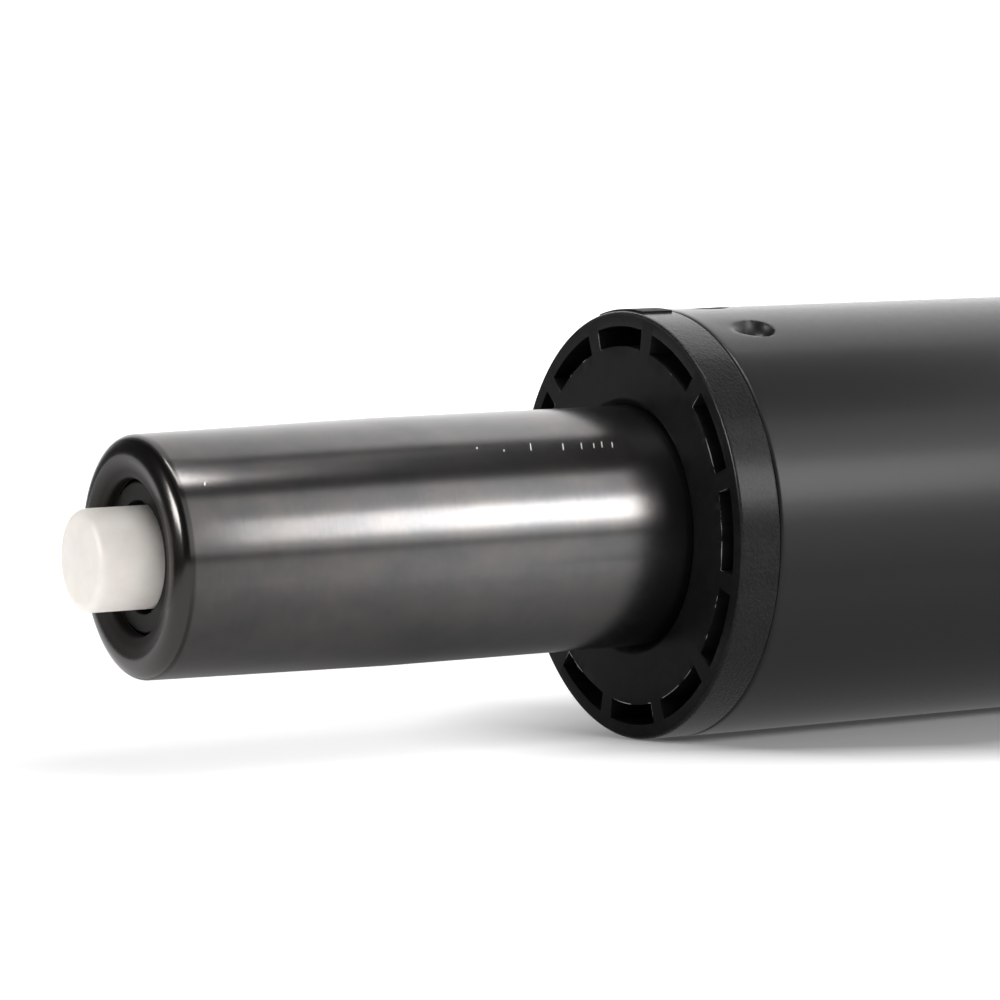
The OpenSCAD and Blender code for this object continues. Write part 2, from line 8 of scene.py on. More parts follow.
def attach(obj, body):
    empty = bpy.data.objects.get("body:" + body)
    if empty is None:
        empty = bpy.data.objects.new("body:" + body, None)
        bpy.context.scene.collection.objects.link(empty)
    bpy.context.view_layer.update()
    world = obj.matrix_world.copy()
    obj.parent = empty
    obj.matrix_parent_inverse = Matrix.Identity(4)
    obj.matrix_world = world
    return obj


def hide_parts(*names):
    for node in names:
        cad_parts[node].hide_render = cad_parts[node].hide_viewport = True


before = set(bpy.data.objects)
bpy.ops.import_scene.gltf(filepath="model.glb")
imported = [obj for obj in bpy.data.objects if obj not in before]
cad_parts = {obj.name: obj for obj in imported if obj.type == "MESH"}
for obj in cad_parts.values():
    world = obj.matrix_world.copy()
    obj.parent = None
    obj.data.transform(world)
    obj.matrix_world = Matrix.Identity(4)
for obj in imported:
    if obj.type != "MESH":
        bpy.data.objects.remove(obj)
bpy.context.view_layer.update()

# The photograph's view. The lift lies on its side on a white table and is seen from a little
# above its tip, with the column running out of the picture on the right. The camera was fitted
# to the edges of both tubes and to the pockets of the bush.
MM = 0.001
BUSH_FACE = 223.2
UPPER_SIDE = Vector((1, -1, 0)).normalized()
FAR_SIDE = Vector((1, 1, 0)).normalized()
TIP_WAY = Vector((0, 0, 1))


def photo_way(upper, far, tip):
    """A way or a distance, by the lift's sides that are up, far and left in the photograph."""
    return UPPER_SIDE * upper + FAR_SIDE * far + TIP_WAY * tip


camera = bpy.data.objects.new("camera", bpy.data.cameras.new("camera"))
bpy.context.scene.collection.objects.link(camera)
bpy.context.scene.camera = camera
camera.data.sensor_width = 36
camera.data.lens = 157.63
camera.data.clip_start, camera.data.clip_end = 0.05, 60
right = photo_way(-0.04607, -0.49126, -0.86980).normalized()
ahead = photo_way(-0.02598, 0.87102, -0.49057).normalized()
camera.matrix_world = Matrix((right, right.cross(ahead), -ahead)).transposed().to_4x4()
camera.location = photo_way(16.89, -436.51, 262.46 + BUSH_FACE) * MM

# Column: a drawn steel tube with a tapered foot that wedges into the chair's base. Its lower
# rim is rolled in over the foot plate, four crimps near its upper edge lock the bush, and it is
# coated satin black.
COLUMN_R = 25.0
COLUMN_BORE_R = 23.2
COLUMN_LEN = 218.0
BASE_CONE_LEN = 72.0
TAPER = math.tan(math.radians(1.438))
FOOT_LIP = 2.0
FOOT_R = COLUMN_R - BASE_CONE_LEN * TAPER
FOOT_BORE_R = FOOT_R - 1.8 + FOOT_LIP * TAPER
LIP_R = FOOT_R - 4.2
CRIMPS = (-72, -48, 108, 132)
CRIMP_END = 211.2
CRIMP_DEPTH = 1.65
CRIMP_RAMP = 2.6
CRIMP_LOW, CRIMP_HIGH = 206.0, 217.0
CRIMP_TOP = CRIMP_HIGH + 0.2
CRIMP_FADE = 1.5
CRIMP_REACH = 0.2
PUNCH_R = 2.2
WELD = 0.0005 * MM


def turned(profile, rounds, cuts, sectors):
    """Turns a closed profile of (radius, height) corners, in millimetres, about the lift's axis.
    rounds gives a corner's length of round, and cuts the new points on the side after a corner.
    One sector of 15 steps is spun first, and then copied round."""
    form = bmesh.new()
    spots = [Vector((radius * MM, 0, height * MM)) for radius, height in profile]
    corners = [form.verts.new(spot) for spot in spots]
    for pair in zip(corners, corners[1:] + corners[:1]):
        form.edges.new(pair)
    for start, count in cuts.items():
        middle = (spots[start] + spots[(start + 1) % len(spots)]) / 2
        side = min(form.edges, key=lambda e: ((e.verts[0].co + e.verts[1].co) / 2 - middle).length)
        bmesh.ops.subdivide_edges(form, edges=[side], cuts=count)
    for corner, length in rounds.items():
        post = min(form.verts, key=lambda v: (v.co - spots[corner]).length)
        bmesh.ops.bevel(form, geom=[post], offset=length * MM, offset_type="OFFSET",
                        segments=6, profile=0.5, affect="VERTICES", material=-1)
    sector = 2 * math.pi / sectors
    bmesh.ops.spin(form, geom=form.verts[:] + form.edges[:], cent=(0, 0, 0), axis=(0, 0, 1),
                   dvec=(0, 0, 0), angle=sector, steps=15)
    bmesh.ops.spin(form, geom=form.verts[:] + form.edges[:] + form.faces[:], cent=(0, 0, 0),
                   axis=(0, 0, 1), dvec=(0, 0, 0), angle=2 * math.pi - sector, steps=sectors - 1,
                   use_duplicate=True)
    bmesh.ops.remove_doubles(form, verts=form.verts, dist=WELD)
    bmesh.ops.dissolve_degenerate(form, edges=form.edges, dist=WELD)
    bmesh.ops.recalc_face_normals(form, faces=form.faces)
    return form


def piece_of(form, name, finish, sharp=32):
    """Makes a finished form an object, smooth but for the edges sharper than the given degrees."""
    mesh = bpy.data.meshes.new(name)
    form.to_mesh(mesh)
    form.free()
    mesh.shade_smooth()
    mesh.set_sharp_from_angle(angle=math.radians(sharp))
    piece = bpy.data.objects.new(name, mesh)
    bpy.context.scene.collection.objects.link(piece)
    mesh.materials.append(finish.material)
    return piece


def azimuth(point):
    return math.degrees(math.atan2(point.y, point.x))


def turn_between(angle, middle):
    """The turn from one direction to another, from -180 to 180 degrees."""
    return (angle - middle + 180) % 360 - 180


class Wire:
    """An output of a finish's nodes. Signs between wires and numbers add the Math nodes."""

    def __init__(self, finish, socket):
        self.finish, self.socket = finish, socket

    def math(self, operation, *values):
        return self.finish.node("Math", {"operation": operation}, dict(enumerate(values)))

    def __add__(self, other):
        return self.math("ADD", self, other)

    def __sub__(self, other):
        return self.math("SUBTRACT", self, other)

    def __rsub__(self, other):
        return self.math("SUBTRACT", other, self)

    def __mul__(self, other):
        return self.math("MULTIPLY", self, other)

    def __truediv__(self, other):
        return self.math("DIVIDE", self, other)

    def __pow__(self, other):
        return self.math("POWER", self, other)

    def __gt__(self, other):
        return self.math("GREATER_THAN", self, other)

    def __lt__(self, other):
        return self.math("LESS_THAN", self, other)

    def __abs__(self):
        return self.math("ABSOLUTE", self)

    def between(self, low, high):
        """0 below low and 1 above high, with an even climb from one to the other."""
        return self.finish.node("MapRange", {"clamp": True}, {
            "Value": self, "From Min": low, "From Max": high, "To Min": 0.0, "To Max": 1.0})

    __radd__ = __add__
    __rmul__ = __mul__


class Nodes:
    """The nodes of one material or world."""

    def __init__(self, tree):
        self.tree = tree

    def join(self, value, socket):
        """Gives a socket a wire, a number or a colour."""
        if isinstance(value, Wire):
            self.tree.links.new(value.socket, socket)
        elif hasattr(socket.default_value, "__len__"):
            size = len(socket.default_value)
            socket.default_value = (tuple(value) + (1.0,))[:size]
        else:
            socket.default_value = value

    def node(self, kind, settings, sockets, output=0):
        made = self.tree.nodes.new("ShaderNode" + kind)
        for name, value in settings.items():
            setattr(made, name, value)
        for name, value in sockets.items():
            self.join(value, made.inputs[name])
        return Wire(self, made.outputs[output])

    def dot(self, vector, way):
        return self.node("VectorMath", {"operation": "DOT_PRODUCT"}, {0: vector, 1: way}, "Value")


class Finish(Nodes):
    """A material in the making: fixed values on the shader, and nodes for what varies."""

    def __init__(self, name, **fixed):
        self.material = bpy.data.materials.new(name)
        self.material.use_nodes = True
        super().__init__(self.material.node_tree)
        self.shader = self.tree.nodes["Principled BSDF"]
        self.give(**fixed)

    def give(self, **values):
        """Sets or joins the shader's sockets, named with _ for a space."""
        for socket, value in values.items():
            self.join(value, self.shader.inputs[socket.replace("_", " ")])

    def place(self, stretch=(1, 1, 1), shift=(0, 0, 0)):
        """Where a point is, in millimetres, divided by stretch."""
        scale = tuple(1 / (MM * s) for s in stretch)
        return self.node("Mapping", {}, {
            "Vector": self.node("TexCoord", {}, {}, "Object"), "Scale": scale, "Location": shift})

    def speckle(self, size, detail=2, roughness=0.5, stretch=(1, 1, 1), shift=(0, 0, 0)):
        """Noise around 0.5 whose grains are about that many millimetres across."""
        return self.node("TexNoise", {}, {
            "Vector": self.place(tuple(size * s for s in stretch), shift), "Scale": 1.0,
            "Detail": detail, "Roughness": roughness})

    def height(self):
        """Height above the lower rim, in millimetres."""
        return self.node("SeparateXYZ", {}, {0: self.place()}, 2)

    def radius(self):
        """Distance from the lift's axis, in millimetres."""
        flat = self.node("VectorMath", {"operation": "MULTIPLY"}, {0: self.place(), 1: (1, 1, 0)})
        return self.node("VectorMath", {"operation": "LENGTH"}, {0: flat}, "Value")

    def turn(self):
        """Direction from the lift's axis, in degrees, as azimuth gives it."""
        sides = self.node("SeparateXYZ", {}, {0: self.place()})
        angle = sides.math("ARCTAN2", Wire(self, sides.socket.node.outputs[1]), sides)
        return angle * math.degrees(1)

    def lathed(self, size):
        """Noise around 0.5 that runs round the axis, as the marks of turning and grinding do."""
        spot = self.node("CombineXYZ", {}, {0: self.radius() / size, 1: self.height() / size})
        return self.node("TexNoise", {}, {"Vector": spot, "Scale": 1.0, "Detail": 3.0})

    def blend(self, amount, first, second):
        """The first colour where amount is 0, the second where it is 1."""
        return self.node("Mix", {"data_type": "RGBA"}, {0: amount, 6: first, 7: second}, 2)

    def relief(self, height, depth):
        """Normals of a surface with that relief: depth in millimetres for a height from 0 to 1."""
        return self.node("Bump", {}, {"Height": height, "Distance": depth * MM, "Strength": 1.0})


column = turned(
    [(LIP_R, 0), (FOOT_R, 0), (COLUMN_R, BASE_CONE_LEN), (COLUMN_R, CRIMP_LOW),
     (COLUMN_R, CRIMP_HIGH), (COLUMN_R, COLUMN_LEN), (COLUMN_BORE_R, COLUMN_LEN),
     (COLUMN_BORE_R, BASE_CONE_LEN), (FOOT_BORE_R, FOOT_LIP), (LIP_R, FOOT_LIP)],
    {0: 0.4, 1: 1.6, 5: 0.5}, {1: 3, 2: 7, 3: 70, 6: 3}, 48)
# Each crimp is the print of a round-nosed punch, deepest at its lower end.
tilt = math.atan(CRIMP_DEPTH / CRIMP_RAMP)
core = COLUMN_R + PUNCH_R - CRIMP_DEPTH
for vert in column.verts:
    radius, height = vert.co.xy.length / MM, vert.co.z / MM
    if radius < COLUMN_R - 0.01 or not CRIMP_LOW < height < CRIMP_TOP:
        continue
    for crimp in CRIMPS:
        turn = math.radians(turn_between(azimuth(vert.co), crimp))
        if abs(turn) > CRIMP_REACH:
            continue
        across, out = radius * math.sin(turn), radius * math.cos(turn)
        rise = height - CRIMP_END
        along = (out - core) * math.sin(tilt) + rise * math.cos(tilt)
        off = (out - core) * math.cos(tilt) - rise * math.sin(tilt)
        clear = math.hypot(across, off, min(along, 0)) - PUNCH_R
        if clear < 0 and along > 0:
            bow = math.sqrt(PUNCH_R ** 2 - across ** 2)
            sunk = out - core - rise * math.tan(tilt) + bow / math.cos(tilt)
        elif clear < 0:
            sunk = out - core + math.sqrt(PUNCH_R ** 2 - across ** 2 - rise ** 2)
        else:
            sunk = -clear
        soft = 0.1 + 0.06 * max(rise, 0)
        sunk = (sunk + math.sqrt(sunk ** 2 + soft ** 2)) / 2
        vert.co.xy *= (radius - sunk * min(1, (CRIMP_TOP - height) / CRIMP_FADE)) / radius
black_coat = Finish("satin_black_coat", Specular_IOR_Level=0.3, Coat_Weight=1.0, Coat_IOR=1.18,
                    Coat_Roughness=0.22)
peel = black_coat.speckle(0.9, detail=3)
cloud = black_coat.speckle(14, detail=3, shift=(3, 1, 5))
black_coat.give(
    Base_Color=black_coat.blend(
        cloud.between(0.3, 0.7), (0.0030, 0.0028, 0.0027), (0.0044, 0.0041, 0.0039)),
    Roughness=0.41 + 0.05 * peel + 0.03 * cloud,
    Normal=black_coat.relief(peel + 0.25 * black_coat.speckle(0.25), 0.004))
column = piece_of(column, "column", black_coat)
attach(column, "column")
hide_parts("column_tube")

# Guide bush: one black moulding. Its flange caps the column with a ring of twelve cored pockets
# in the face, and its sleeve, cored from outside, guides the cylinder. The mould leaves a spark
# grain on the rim, a smooth pad on it, and a little flash along the pockets.
FLANGE_R = 24.94
SLEEVE_R = 23.15
SLEEVE_FOOT = 118.0
GUIDE_R = 14.08
RELIEF_R = 14.68
LAND = 24.0
CHAMFER = 0.8
POCKETS = 12
POCKET_IN_R, POCKET_OUT_R = 20.9, 23.2
POCKET_DEPTH = 7.0
POCKET_START = -46.5
POCKET_HALF = 12.0
CORE_R = GUIDE_R + 3.4
CORE_LOW, CORE_HIGH = 126.0, 196.4
LOCK_R = SLEEVE_R - 1.8
LOCK_LOW, LOCK_HIGH = 204.4, 214.0
PAD_R = 25.19
PAD_MIDDLE = -45.0
PAD_HALF = 11.0
PAD_LOW, PAD_HIGH = 218.5, 222.6
FLASH_HIGH = 0.14
FLASH_WIDE = 0.14
PEBBLE = 0.37
HAIR = 0.01

bush = turned(
    [(GUIDE_R + CHAMFER, SLEEVE_FOOT), (SLEEVE_R - 1, SLEEVE_FOOT), (SLEEVE_R, SLEEVE_FOOT + 3),
     (SLEEVE_R, CORE_LOW), (SLEEVE_R, CORE_HIGH), (SLEEVE_R, LOCK_LOW), (LOCK_R, LOCK_LOW),
     (LOCK_R, LOCK_HIGH), (SLEEVE_R, LOCK_HIGH), (SLEEVE_R, COLUMN_LEN),
     (FLANGE_R, COLUMN_LEN), (FLANGE_R, PAD_LOW), (FLANGE_R, PAD_HIGH), (FLANGE_R, BUSH_FACE),
     (POCKET_OUT_R, BUSH_FACE), (POCKET_IN_R, BUSH_FACE), (GUIDE_R + CHAMFER, BUSH_FACE),
     (GUIDE_R, BUSH_FACE - CHAMFER), (GUIDE_R, BUSH_FACE - LAND), (RELIEF_R, BUSH_FACE - LAND),
     (RELIEF_R, SLEEVE_FOOT + LAND), (GUIDE_R, SLEEVE_FOOT + LAND),
     (GUIDE_R, SLEEVE_FOOT + CHAMFER)],
    {10: 0.2, 13: 0.32, 16: 0.2}, {15: 3}, 48)


def faces_at(form, radii, heights, middle, half):
    """The faces of a turned form whose middle lies in those bounds, in millimetres and degrees."""
    found = []
    for face in form.faces:
        point = face.calc_center_median()
        if (radii[0] < point.xy.length / MM < radii[1] and heights[0] < point.z / MM < heights[1]
                and abs(turn_between(azimuth(point), middle)) < half):
            found.append(face)
    return found


def pushed(form, faces):
    """Extrudes the faces and gives the new points, to be moved to their place."""
    edges = list({edge for face in faces for edge in face.edges})
    new = bmesh.ops.extrude_face_region(form, geom=faces + edges)["geom"]
    return [item for item in new if isinstance(item, bmesh.types.BMVert)]


for pocket in range(POCKETS):
    middle = POCKET_START + pocket * 360 / POCKETS
    mouth = faces_at(bush, (POCKET_IN_R + 0.05, POCKET_OUT_R), (BUSH_FACE - HAIR, BUSH_FACE + HAIR),
                     middle, POCKET_HALF)
    bmesh.ops.translate(bush, verts=pushed(bush, mouth), vec=(0, 0, -POCKET_DEPTH * MM))
    panel = faces_at(bush, (SLEEVE_R - 0.1, SLEEVE_R + 0.1), (CORE_LOW + 1, CORE_HIGH - 1),
                     middle, POCKET_HALF)
    for vert in pushed(bush, panel):
        vert.co.xy *= CORE_R / SLEEVE_R
pad = faces_at(bush, (FLANGE_R - 0.1, FLANGE_R + 0.1), (PAD_LOW + 1, PAD_HIGH - 1),
               PAD_MIDDLE, PAD_HALF)
for vert in pushed(bush, pad):
    vert.co.xy *= PAD_R / FLANGE_R
bush.normal_update()
lips = [edge for edge in bush.edges if len(edge.link_faces) == 2
        and all(abs(v.co.z / MM - BUSH_FACE) < HAIR for v in edge.verts)
        and abs(edge.link_faces[0].normal.z - edge.link_faces[1].normal.z) > 0.9]
bmesh.ops.bevel(bush, geom=lips, offset=0.1 * MM, offset_type="OFFSET", segments=2, profile=0.5,
                affect="EDGES", clamp_overlap=True, material=-1)
# Flash: the inner lips of the pockets are drawn up unevenly.
for vert in bush.verts:
    radius, height = vert.co.xy.length / MM, vert.co.z / MM
    if BUSH_FACE - 0.13 < height < BUSH_FACE - HAIR and abs(radius - POCKET_IN_R) < FLASH_WIDE:
        rough = noise.noise(vert.co / (2.3 * MM)) + 0.25 * noise.noise(vert.co / (0.5 * MM))
        vert.co.z += MM * min(FLASH_HIGH, 0.3 * max(0, rough + 0.05))
bush_plastic = Finish("moulded_black_plastic", Specular_IOR_Level=0.1, Coat_IOR=1.25,
                      Coat_Roughness=0.25)
out = bush_plastic.radius()
rim = out.between(FLANGE_R - 0.39, FLANGE_R - 0.14) * (1 - out.between(PAD_R - 0.19, PAD_R - 0.11))
high = bush_plastic.height()
# Painted highlights: the pale colour on the raised flash along the pockets' inner lips and on the
# flange's lower edge against the column stands for these edges' glint, broken up by noise.
line_break_noise = bush_plastic.speckle(2.6, detail=5, roughness=0.7, shift=(1, 9, 2))
painted_edge_highlight = (high > BUSH_FACE + 0.008) * line_break_noise.between(0.38, 0.5)
column_edge_highlight = (high < COLUMN_LEN + 0.09) * (high > COLUMN_LEN + 0.01) * rim
painted_edge_highlight = painted_edge_highlight + 0.4 * column_edge_highlight * line_break_noise.between(0.5, 0.6)
pebbles = bush_plastic.node("TexVoronoi", {"feature": "SMOOTH_F1"}, {
    "Vector": bush_plastic.place((PEBBLE, PEBBLE, PEBBLE)), "Scale": 1.0, "Smoothness": 0.6})
spark = bush_plastic.speckle(0.14, detail=3, roughness=0.7)
dust = bush_plastic.speckle(1.6, detail=4, roughness=0.6, shift=(7, 2, 4))
skin = bush_plastic.blend(
    dust.between(0.35, 0.75), (0.0026, 0.0025, 0.0023), (0.0076, 0.0075, 0.0069))
bush_plastic.give(
    Base_Color=bush_plastic.blend(painted_edge_highlight, skin, (0.36, 0.34, 0.32)),
    Roughness=0.46 + 0.1 * dust - 0.08 * rim, Coat_Weight=rim,
    Normal=bush_plastic.relief(spark * (0.2 + 0.4 * rim) + pebbles * rim * 1.6, 0.15))
bush = piece_of(bush, "guide_bush_moulding", bush_plastic)
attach(bush, "column")
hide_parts("guide_bush")

# Foot plate: a dished steel pressing that the column's rolled rim holds. It is zinc plated and
# carries the whole lift on its hub.
def finished(node, finish):
    """Gives a CAD node, whose shape stays, its finish."""
    bpy.data.objects[node].material_slots[0].material = finish.material


zinc = Finish("bright_zinc_plate", Metallic=1.0)
spangle = zinc.speckle(2.2, detail=5, roughness=0.6)
zinc.give(
    Base_Color=zinc.blend(spangle.between(0.35, 0.7), (0.47, 0.48, 0.50), (0.60, 0.60, 0.59)),
    Roughness=0.24 + 0.16 * spangle,
    Normal=zinc.relief(zinc.lathed(0.5) + 0.5 * zinc.speckle(0.3), 0.004))
finished("foot_plate", zinc)

# Ball thrust bearing: two hardened steel races, ground where the balls run, a pressed brass cage
# and ten polished balls. It lies loose on the foot plate under the rod's shoulder.
ground_steel = Finish("ground_bearing_steel", Metallic=1.0)
smudge = ground_steel.speckle(3, detail=3)
ground_steel.give(
    Base_Color=ground_steel.blend(smudge.between(0.3, 0.7), (0.55, 0.56, 0.58), (0.64, 0.64, 0.65)),
    Roughness=0.15 + 0.12 * smudge,
    Normal=ground_steel.relief(ground_steel.lathed(0.08), 0.0015))
finished("lower_race", ground_steel)
finished("upper_race", ground_steel)
brass = Finish("pressed_brass", Metallic=1.0)
tarnish = brass.speckle(1.8, detail=5, roughness=0.65)
brass.give(
    Base_Color=brass.blend(tarnish.between(0.35, 0.7), (0.50, 0.34, 0.11), (0.72, 0.55, 0.24)),
    Roughness=0.2 + 0.2 * tarnish,
    Normal=brass.relief(tarnish, 0.006))
finished("ball_cage", brass)
polished_steel = Finish("polished_ball_steel", Metallic=1.0)
grease = polished_steel.speckle(1.4, detail=3)
polished_steel.give(
    Base_Color=polished_steel.blend(
        grease.between(0.35, 0.65), (0.64, 0.65, 0.67), (0.74, 0.75, 0.76)),
    Roughness=0.05 + 0.1 * grease.between(0.45, 0.7))
finished("bearing_balls", polished_steel)

# End buffer: a rubber ring with a zinc-plated washer under it, threaded on the rod. The cylinder
# comes down on it at the bottom of the stroke.
finished("buffer_washer", zinc)
rubber = Finish("black_rubber", Specular_IOR_Level=0.4)
chalk = rubber.speckle(2.5, detail=4, roughness=0.6)
rubber.give(
    Base_Color=rubber.blend(chalk.between(0.4, 0.75), (0.016, 0.016, 0.016), (0.045, 0.044, 0.043)),
    Roughness=0.62 + 0.2 * chalk,
    Normal=rubber.relief(rubber.speckle(0.22, detail=3), 0.012))
finished("rubber_buffer", rubber)

# Piston rod: hard-chromed ground steel, its shouldered foot through the bearing and the plate,
# where a zinc-plated washer and a phosphated E-shaped clip in a groove hold it.
chrome = Finish("hard_chrome", Metallic=1.0)
haze = chrome.speckle(4, detail=3)
chrome.give(
    Base_Color=chrome.blend(haze.between(0.3, 0.7), (0.62, 0.63, 0.65), (0.71, 0.71, 0.72)),
    Roughness=0.07 + 0.08 * haze,
    Normal=chrome.relief(chrome.lathed(0.06), 0.0008))
finished("piston_rod", chrome)
finished("clip_washer", zinc)
phosphate = Finish("phosphated_spring_steel", Metallic=0.8)
crystal = phosphate.speckle(0.5, detail=5, roughness=0.7)
phosphate.give(
    Base_Color=phosphate.blend(crystal.between(0.35, 0.7), (0.12, 0.12, 0.13), (0.25, 0.25, 0.26)),
    Roughness=0.45 + 0.2 * crystal,
    Normal=phosphate.relief(crystal, 0.008))
finished("retaining_clip", phosphate)

# Piston: a turned aluminium disc with a sealing ring in its groove, held on the rod's thread by a
# washer and a nut.
alloy = Finish("turned_aluminium", Metallic=1.0)
dull = alloy.speckle(3, detail=4)
alloy.give(
    Base_Color=alloy.blend(dull.between(0.3, 0.7), (0.54, 0.55, 0.57), (0.66, 0.66, 0.67)),
    Roughness=0.26 + 0.14 * dull,
    Normal=alloy.relief(alloy.lathed(0.18), 0.006))
finished("piston", alloy)
filled_plastic = Finish("filled_sealing_plastic")
grain = filled_plastic.speckle(0.4, detail=4, roughness=0.65)
filled_plastic.give(
    Base_Color=filled_plastic.blend(
        grain.between(0.35, 0.7), (0.040, 0.040, 0.044), (0.080, 0.079, 0.082)),
    Roughness=0.42 + 0.15 * grain,
    Normal=filled_plastic.relief(grain, 0.004))
finished("piston_ring", filled_plastic)
finished("piston_washer", zinc)
finished("piston_nut", zinc)

# Pressure tube: a ground steel tube rolled in at both ends. Its last 30 mm taper to seat in the
# chair's mechanism, it is darkened and brushed round its axis, and the rolled rim has been
# pressed smooth and glossy.
TUBE_R = 14.0
TUBE_WALL = 1.7
TUBE_BORE_R = TUBE_R - TUBE_WALL
TUBE_FOOT = 29.04
TUBE_FOOT_MOUTH_R = 8.0
TIP = 286.54
TOP_CONE = 256.04
TIP_R = 13.5
RIM_SIDE = 286.05
CROWN_R = 11.7
CROWN = 286.98
MOUTH_R = 8.7
MOUTH = 286.2
RIM_T = 2.9
SHOULDER = TIP - RIM_T

tube = turned(
    [(TUBE_FOOT_MOUTH_R, TUBE_FOOT), (TUBE_R, TUBE_FOOT), (TUBE_R, TOP_CONE), (TIP_R, RIM_SIDE),
     (CROWN_R, CROWN), (MOUTH_R, MOUTH), (MOUTH_R, SHOULDER), (TIP_R - TUBE_WALL, SHOULDER),
     (TUBE_BORE_R, TOP_CONE), (TUBE_BORE_R, TUBE_FOOT + TUBE_WALL),
     (TUBE_FOOT_MOUTH_R, TUBE_FOOT + TUBE_WALL)],
    {0: 0.5, 1: 1.5, 3: 0.7, 4: 1.0, 5: 0.35}, {1: 5, 2: 3}, 24)
dark_steel = Finish("dark_brushed_steel", Specular_IOR_Level=0.1, Anisotropic=0.25,
                    Anisotropic_Rotation=0.25)
rolled = dark_steel.height().between(284.85, 285.15)
# Painted shade: the funnel inside the roll is coloured darker and made dull, as shade inside the
# tube's mouth, which also hides the bright line that its grazing reflection would give.
mouth_shade = rolled * (1 - dark_steel.radius().between(9.6, 11.4))
brush = dark_steel.speckle(1.0, detail=4, roughness=0.6, stretch=(12, 12, 0.05))
stain = dark_steel.speckle(5, detail=5, roughness=0.65, stretch=(1, 1, 1.3))
# The steel is coloured darker towards the tip.
tipward = dark_steel.height().between(BUSH_FACE + 24, BUSH_FACE + 62)
stain = (0.6 * stain + 0.4 * brush).between(0.38, 0.64)
near_bush = dark_steel.blend(stain, (0.150, 0.152, 0.157), (0.206, 0.192, 0.183))
near_tip = dark_steel.blend(stain, (0.082, 0.081, 0.081), (0.118, 0.108, 0.103))
rim_colour_with_shade = dark_steel.blend(mouth_shade, (0.054, 0.051, 0.049), (0.012, 0.010, 0.009))
steel = dark_steel.blend(rolled, dark_steel.blend(tipward, near_bush, near_tip), rim_colour_with_shade)
# Nine small bright ticks in the dark finish: height, direction, and half the length in degrees.
marks = 0
for height, side, half in (
        (230.6, -91.5, 1.7), (231.9, -90.8, 1.9), (233.0, -91.2, 1.6), (234.6, -91.0, 2.0),
        (237.0, -90.9, 2.0), (241.1, -89.9, 2.3), (244.7, -91.3, 0.5), (247.9, -88.8, 0.6),
        (282.3, -99.5, 0.9)):
    slant = dark_steel.height() - height - 0.08 * (side - dark_steel.turn())
    marks = marks + (abs(slant) < 0.05) * (abs(dark_steel.turn() - side) < half)
dark_steel.give(
    Base_Color=dark_steel.blend(marks, steel, (0.9, 0.9, 0.9)),
    Roughness=(0.19 + 0.08 * brush) * (1 - rolled) + 0.21 * rolled + 0.25 * mouth_shade + 0.3 * marks,
    Metallic=1 - 0.95 * mouth_shade,
    Normal=dark_steel.relief(brush * (1 - rolled), 0.0009))
tube = piece_of(tube, "pressure_tube_shell", dark_steel)
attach(tube, "cylinder")
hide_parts("pressure_tube")

# Inner tube and rod end: a thin drawn tube that the piston runs in, and below it the washer, the
# moulded guide, the lip seal and the spacer that the rolled lower end holds in.
drawn_steel = Finish("drawn_steel", Metallic=1.0)
draw = drawn_steel.speckle(1.0, detail=4, roughness=0.6, stretch=(0.12, 0.12, 14))
drawn_steel.give(
    Base_Color=drawn_steel.blend(draw.between(0.3, 0.7), (0.48, 0.49, 0.51), (0.60, 0.60, 0.61)),
    Roughness=0.2 + 0.18 * draw,
    Normal=drawn_steel.relief(draw, 0.004))
finished("inner_tube", drawn_steel)
finished("end_washer", zinc)
natural_plastic = Finish("natural_plastic", IOR=1.48)
cast = natural_plastic.speckle(3, detail=3)
natural_plastic.give(
    Base_Color=natural_plastic.blend(
        cast.between(0.3, 0.7), (0.74, 0.71, 0.63), (0.82, 0.80, 0.74)),
    Roughness=0.38 + 0.14 * cast,
    Normal=natural_plastic.relief(natural_plastic.speckle(0.4), 0.006))
finished("rod_guide", natural_plastic)
finished("rod_seal", rubber)
finished("seal_spacer", zinc)

# Valve: a turned alloy body, coloured very dark, that the rolled rim holds in. Two rubber rings
# seal it in the tube, and two more seal the waisted steel pin that the button pushes.
dark_alloy = Finish("dark_turned_alloy", Metallic=1.0)
mottle = dark_alloy.speckle(1.6, detail=4, roughness=0.6)
dark_alloy.give(
    Base_Color=dark_alloy.blend(
        mottle.between(0.3, 0.7), (0.012, 0.012, 0.011), (0.021, 0.021, 0.019)),
    Roughness=0.4 + 0.15 * mottle,
    Normal=dark_alloy.relief(dark_alloy.lathed(0.15) + mottle, 0.005))
finished("valve_body", dark_alloy)
finished("body_seals", rubber)
finished("pin_seals", rubber)
pin_steel = Finish("ground_pin_steel", Metallic=1.0)
film = pin_steel.speckle(1.2, detail=3)
pin_steel.give(
    Base_Color=pin_steel.blend(film.between(0.3, 0.7), (0.52, 0.53, 0.54), (0.63, 0.63, 0.64)),
    Roughness=0.14 + 0.12 * film,
    Normal=pin_steel.relief(pin_steel.lathed(0.06), 0.001))
finished("valve_pin", pin_steel)

